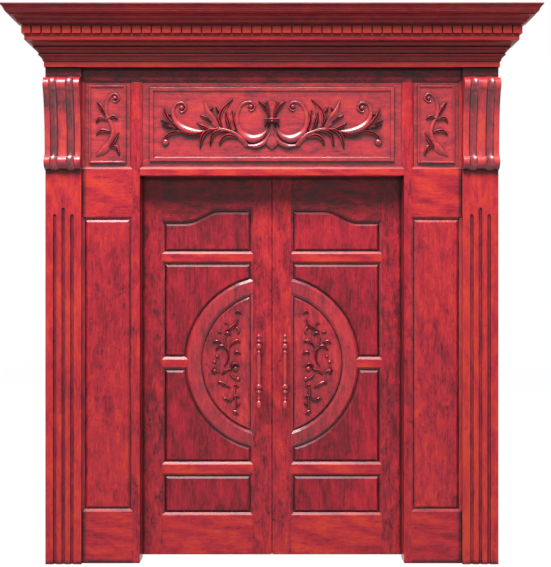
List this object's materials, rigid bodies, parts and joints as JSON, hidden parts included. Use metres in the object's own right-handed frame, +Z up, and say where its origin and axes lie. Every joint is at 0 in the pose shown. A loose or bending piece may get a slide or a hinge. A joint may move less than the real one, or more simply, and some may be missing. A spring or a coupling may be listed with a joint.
{
  "type": "double entrance door",
  "caption": "Carved wooden double entrance door in its frame, with fluted pilasters, scroll corbels, a carved frieze and a dentilled cornice; the leaves swing inwards.",
  "frame": {"origin": "on the floor, in the middle of the door's overall width and depth; the wall's outer face is 71.25 mm behind it", "axes": "+Z up, +Y through the wall towards the inside, +X to the right as seen from outside"},
  "size_m": [2.902, 0.4154, 3.058],
  "materials": {
    "panel_wood": "glossy red lacquer over dark vertical grain",
    "stile_wood": "glossy red lacquer over vertical grain",
    "rail_wood": "glossy orange-red lacquer over horizontal grain",
    "cornice_wood": "dark red lacquer, satin",
    "pull_wood": "glossy red lacquer",
    "hinge_steel": "brass-plated, satin"
  },
  "bodies": {
    "frame": {"center_frieze_panel": "panel_wood", "center_frieze_rail": "rail_wood", "cornice_bed_mould": "cornice_wood", "cornice_crown": "cornice_wood", "cornice_top_board": "cornice_wood", "dentil_band": "cornice_wood", "frieze_top_rail": "cornice_wood", "head_jamb": "rail_wood", "left_casing_stile": "stile_wood", "left_corbel": "stile_wood", "left_frieze_panel": "panel_wood", "left_frieze_rail": "rail_wood", "left_high_hinge": "hinge_steel", "left_jamb": "stile_wood", "left_low_hinge": "hinge_steel", "left_middle_hinge": "hinge_steel", "left_pilaster": "stile_wood", "left_side_bottom_rail": "rail_wood", "left_side_panel": "panel_wood", "left_side_top_rail": "rail_wood", "right_casing_stile": "stile_wood", "right_corbel": "stile_wood", "right_frieze_panel": "panel_wood", "right_frieze_rail": "rail_wood", "right_high_hinge": "hinge_steel", "right_jamb": "stile_wood", "right_low_hinge": "hinge_steel", "right_middle_hinge": "hinge_steel", "right_pilaster": "stile_wood", "right_side_bottom_rail": "rail_wood", "right_side_panel": "panel_wood", "right_side_top_rail": "rail_wood"},
    "left_leaf": {"left_hinge_stile": "stile_wood", "left_meeting_stile": "stile_wood", "left_top_rail": "rail_wood", "left_upper_rail": "rail_wood", "left_lower_rail": "rail_wood", "left_bottom_rail": "rail_wood", "left_mid_rail": "rail_wood", "left_half_ring": "stile_wood", "left_top_panel": "panel_wood", "left_upper_panel": "panel_wood", "left_moon_panel": "panel_wood", "left_lower_panel": "panel_wood", "left_bottom_panel": "panel_wood", "left_pull": "pull_wood"},
    "right_leaf": {"right_hinge_stile": "stile_wood", "right_meeting_stile": "stile_wood", "right_top_rail": "rail_wood", "right_upper_rail": "rail_wood", "right_lower_rail": "rail_wood", "right_bottom_rail": "rail_wood", "right_mid_rail": "rail_wood", "right_half_ring": "stile_wood", "right_top_panel": "panel_wood", "right_upper_panel": "panel_wood", "right_moon_panel": "panel_wood", "right_lower_panel": "panel_wood", "right_bottom_panel": "panel_wood", "right_pull": "pull_wood"}
  },
  "joints": [
    {"name": "left_leaf_hinge", "type": "hinge", "parent": "frame", "child": "left_leaf", "pos_m": [-0.7485, 0.19975, 0], "axis": [0, 0, 1], "range_deg": [0, 105]},
    {"name": "right_leaf_hinge", "type": "hinge", "parent": "frame", "child": "right_leaf", "pos_m": [0.7485, 0.19975, 0], "axis": [0, 0, -1], "range_deg": [0, 105]}
  ]
}
